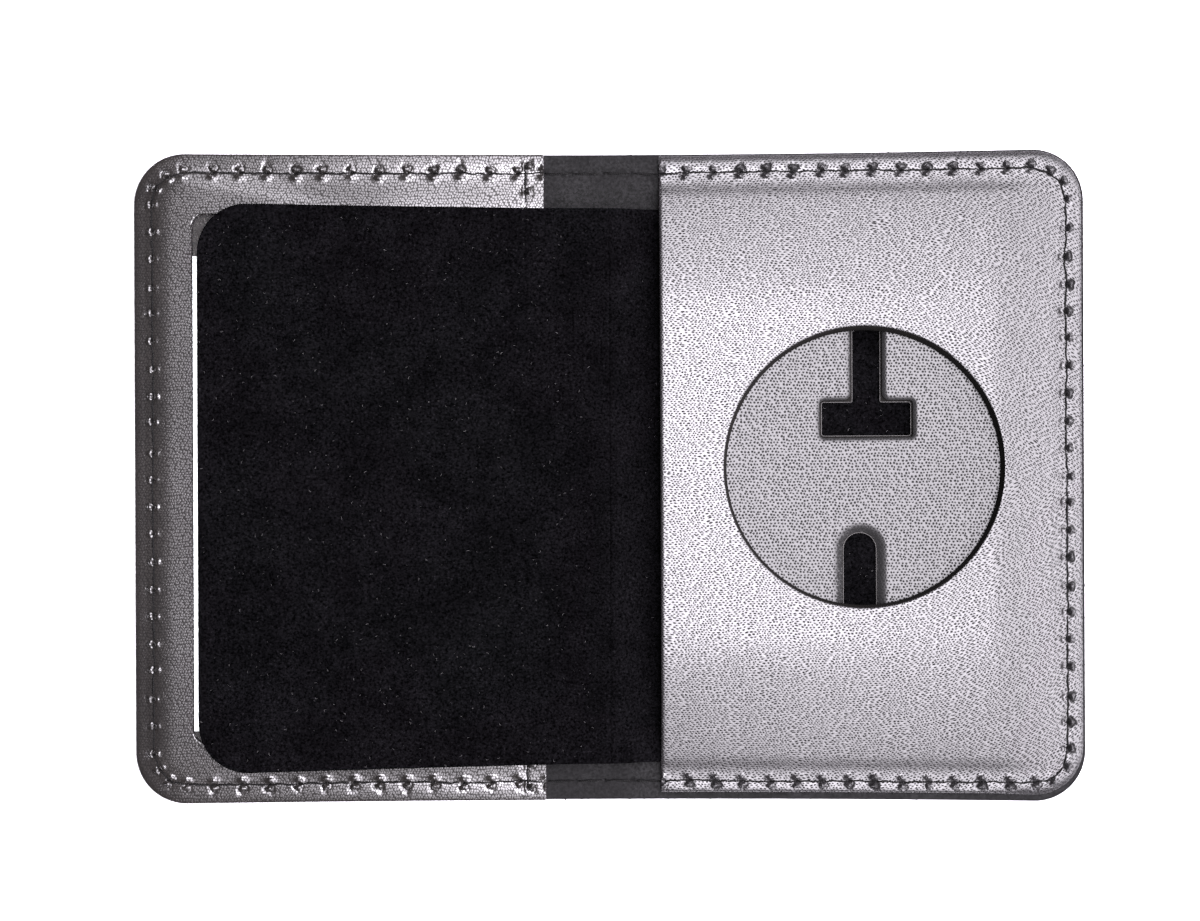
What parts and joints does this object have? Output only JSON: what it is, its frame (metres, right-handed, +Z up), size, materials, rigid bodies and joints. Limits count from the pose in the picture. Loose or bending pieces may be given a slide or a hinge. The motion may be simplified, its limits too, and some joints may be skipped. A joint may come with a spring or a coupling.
{
  "type": "id badge wallet",
  "caption": "Open leather badge wallet: card pocket with clear window, velvet faced flap over it, and a round slotted badge recess on the other half.",
  "frame": {"origin": "on the table under the fold line, at the middle of the open wallet's height", "axes": "+X across the open wallet from the card pocket to the badge panel, +Y up the wallet's height, +Z up from the table"},
  "size_m": [0.172, 0.117, 0.0068],
  "materials": {
    "cover_leather": "black coated leather with pebble grain",
    "panel_leather": "black glossy coated leather with pebble grain",
    "seat_leather": "black satin leather, fine pebble grain",
    "lining": "dark grey fine lining",
    "pocket_lining": "brown grey lining behind the window",
    "velvet": "black velvet",
    "clear_sheet": "clear glossy sheet",
    "card": "blank white card",
    "board": "black board",
    "stiffener": "grey fibre board",
    "thread": "black waxed thread"
  },
  "bodies": {
    "id_half": {"cover_left": "cover_leather", "lining_left": "pocket_lining", "clear_window": "clear_sheet", "window_frame": "panel_leather", "id_seam": "thread", "mouth_seam": "thread", "cover_spine": "cover_leather", "lining_spine": "lining", "spine_seam": "thread"},
    "badge_half": {"cover_right": "cover_leather", "lining_right": "lining", "flap_root_leather": "cover_leather", "flap_root_velvet": "velvet", "slot_stiffener": "stiffener", "badge_seat": "seat_leather", "badge_board": "board", "badge_skin": "panel_leather", "badge_seam": "thread"},
    "flap": {"flap_leather": "cover_leather", "flap_velvet": "velvet"},
    "card": {"id_card": "card"}
  },
  "joints": [
    {"name": "cover_fold", "type": "hinge", "parent": "id_half", "child": "badge_half", "pos_m": [0, 0, 0.00615], "axis": [0, -1, 0], "range_deg": [0, 180], "deforming": ["cover_spine", "lining_spine", "spine_seam"]},
    {"name": "flap_turn", "type": "hinge", "parent": "id_half", "child": "flap", "pos_m": [0, 0, 0.00615], "axis": [0, 1, 0], "range_deg": [0, 180]},
    {"name": "card_slide", "type": "slide", "parent": "id_half", "child": "card", "axis": [1, 0, 0], "range_m": [0, 0.027]}
  ]
}
